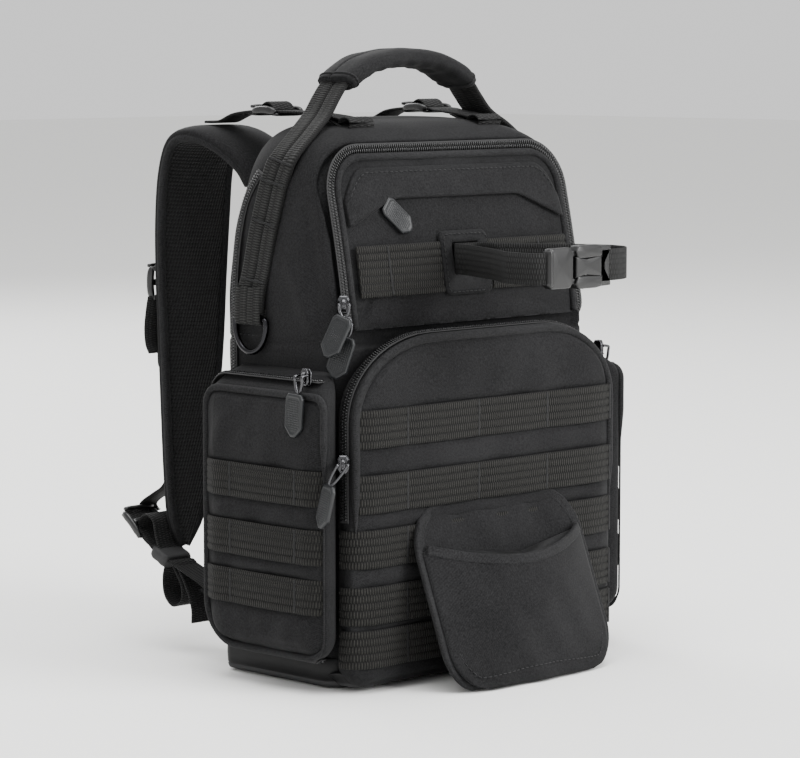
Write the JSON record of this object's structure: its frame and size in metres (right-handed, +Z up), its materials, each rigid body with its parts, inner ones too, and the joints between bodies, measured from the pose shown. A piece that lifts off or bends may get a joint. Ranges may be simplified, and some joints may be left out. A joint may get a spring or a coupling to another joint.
{
  "type": "camera backpack",
  "caption": "Padded box-shaped camera backpack with zipped front panel, loop-webbed pockets, carry handle, harness, front load strap and open pouch.",
  "frame": {"origin": "in the plane of the base's flat underside, on the bag's centre line, 33 mm in front of the body's back wall", "axes": "+Z up, -Y out of the front pocket, +Y towards the wearer, -X to the side that carries the panel's zip sliders"},
  "size_m": [0.2983, 0.3301, 0.403],
  "materials": {
    "nylon_cloth": "matt plain-woven nylon",
    "webbing": "ribbed nylon webbing",
    "zip_tape": "coil zip with woven tape",
    "air_mesh": "knitted spacer mesh over foam",
    "coated_cloth": "coated cloth, low sheen",
    "acetal": "moulded acetal, satin",
    "moulded_pull": "soft moulded pull, fine diamond face",
    "black_metal": "black coated wire, glossy"
  },
  "bodies": {
    "bag": {"main_body": "nylon_cloth", "front_panel": "nylon_cloth", "main_zipper": "zip_tape", "storm_flap": "nylon_cloth", "panel_webbing_left": "webbing", "panel_webbing_right": "webbing", "strap_patch": "nylon_cloth", "front_pocket": "nylon_cloth", "front_pocket_zipper": "zip_tape", "front_webbing_1": "webbing", "front_webbing_2": "webbing", "front_webbing_3": "webbing", "front_webbing_4": "webbing", "front_webbing_5": "webbing", "side_pocket_left": "nylon_cloth", "side_pocket_right": "nylon_cloth", "side_pocket_zipper_left": "zip_tape", "side_pocket_zipper_right": "zip_tape", "side_webbing_1_left": "webbing", "side_webbing_1_right": "webbing", "side_webbing_2_left": "webbing", "side_webbing_2_right": "webbing", "side_webbing_3_left": "webbing", "side_webbing_3_right": "webbing", "base_boot": "coated_cloth", "back_pad": "air_mesh", "shoulder_strap_left": "air_mesh", "shoulder_strap_right": "air_mesh", "load_lifter_left": "webbing", "load_lifter_right": "webbing", "lifter_lock_left": "acetal", "lifter_lock_right": "acetal", "strap_wing_left": "nylon_cloth", "strap_wing_right": "nylon_cloth", "adjust_webbing_left": "webbing", "adjust_webbing_right": "webbing", "lower_lock_left": "acetal", "lower_lock_right": "acetal", "lock_tab_left": "webbing", "lock_tab_right": "webbing", "carry_webbing": "webbing", "grip": "nylon_cloth", "load_strap": "webbing", "buckle_socket": "acetal", "buckle_plug": "acetal", "pouch_back": "nylon_cloth", "pouch_front": "nylon_cloth", "slider_main_upper": "black_metal", "pull_main_upper": "moulded_pull", "slider_main_lower": "black_metal", "pull_main_lower": "moulded_pull", "slider_front": "black_metal", "pull_front": "moulded_pull", "slider_side_left": "black_metal", "slider_side_right": "black_metal", "pull_side_left": "moulded_pull", "pull_side_right": "moulded_pull", "pull_flap": "moulded_pull"},
    "ring_left": {"d_ring_left": "black_metal"},
    "ring_right": {"d_ring_right": "black_metal"}
  },
  "joints": [
    {"name": "ring_left_swing", "type": "hinge", "parent": "bag", "child": "ring_left", "pos_m": [-0.1224, 0.003, 0.231], "axis": [0, 1, 0], "range_deg": [0, 110]},
    {"name": "ring_right_swing", "type": "hinge", "parent": "bag", "child": "ring_right", "pos_m": [0.1224, 0.003, 0.231], "axis": [0, -1, 0], "range_deg": [0, 110]}
  ]
}
